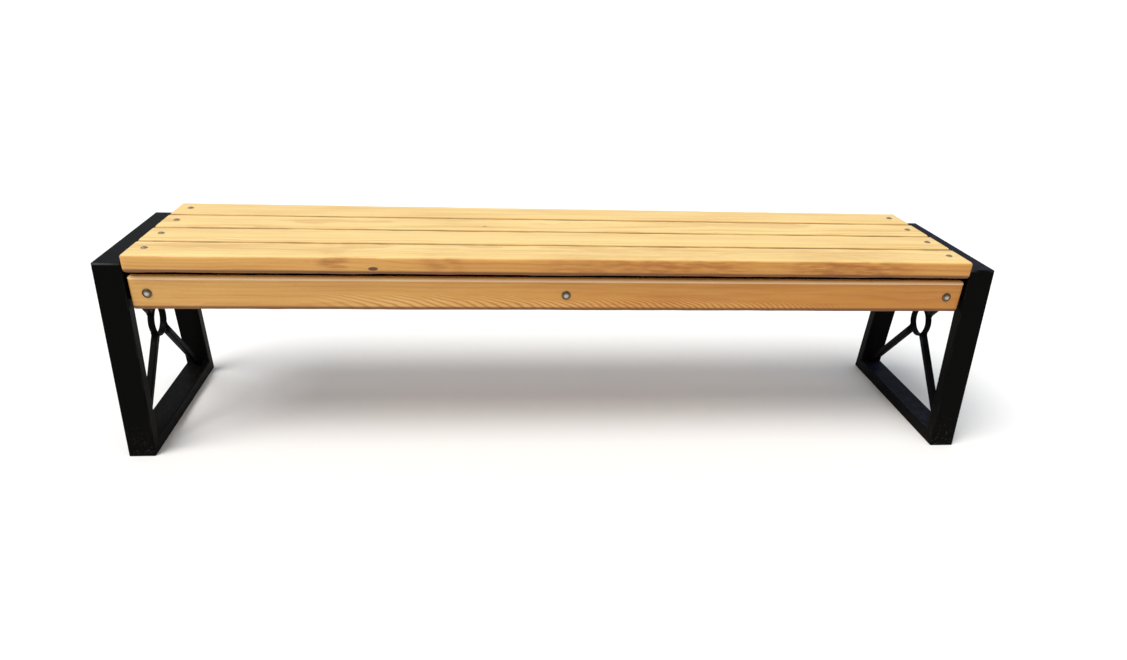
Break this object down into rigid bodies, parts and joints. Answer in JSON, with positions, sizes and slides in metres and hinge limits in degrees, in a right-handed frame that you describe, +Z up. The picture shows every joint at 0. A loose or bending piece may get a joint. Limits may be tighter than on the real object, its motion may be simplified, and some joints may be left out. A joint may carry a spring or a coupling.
{
  "type": "backless bench",
  "caption": "Backless street bench with lengthwise wooden slats and aprons bolted between two closed tapered frames of black steel tube, each braced by diagonals and a round ring.",
  "frame": {"origin": "on the ground, under the middle of the seat", "axes": "+X along the seat, +Y from the front of the seat to the rear, +Z up"},
  "size_m": [2, 0.47, 0.4753],
  "materials": {
    "frame_paint": "satin black powder coat on steel",
    "slat_wood": "planed softwood with a clear satin glaze",
    "apron_wood": "planed softwood with a clear satin glaze",
    "zinc": "bright zinc-plated steel"
  },
  "bodies": {
    "root": {"left_bottom_rail": "frame_paint", "left_rear_leg": "frame_paint", "left_top_rail": "frame_paint", "left_front_leg": "frame_paint", "left_lower_front_diagonal": "frame_paint", "left_lower_rear_diagonal": "frame_paint", "left_upper_rear_diagonal": "frame_paint", "left_upper_front_diagonal": "frame_paint", "left_brace_ring": "frame_paint", "left_cross_angle": "frame_paint", "right_bottom_rail": "frame_paint", "right_rear_leg": "frame_paint", "right_top_rail": "frame_paint", "right_front_leg": "frame_paint", "right_lower_front_diagonal": "frame_paint", "right_lower_rear_diagonal": "frame_paint", "right_upper_rear_diagonal": "frame_paint", "right_upper_front_diagonal": "frame_paint", "right_brace_ring": "frame_paint", "right_cross_angle": "frame_paint", "middle_cross_tube": "frame_paint", "front_seat_rail": "frame_paint", "rear_seat_rail": "frame_paint", "front_slat": "slat_wood", "front_middle_slat": "slat_wood", "rear_middle_slat": "slat_wood", "rear_slat": "slat_wood", "front_apron": "apron_wood", "rear_apron": "apron_wood", "slat_bolts": "zinc", "slat_washers": "zinc", "slat_nuts": "zinc", "apron_bolts": "zinc", "apron_washers": "zinc", "apron_nuts": "zinc", "slat_screws": "zinc"}
  },
  "joints": []
}
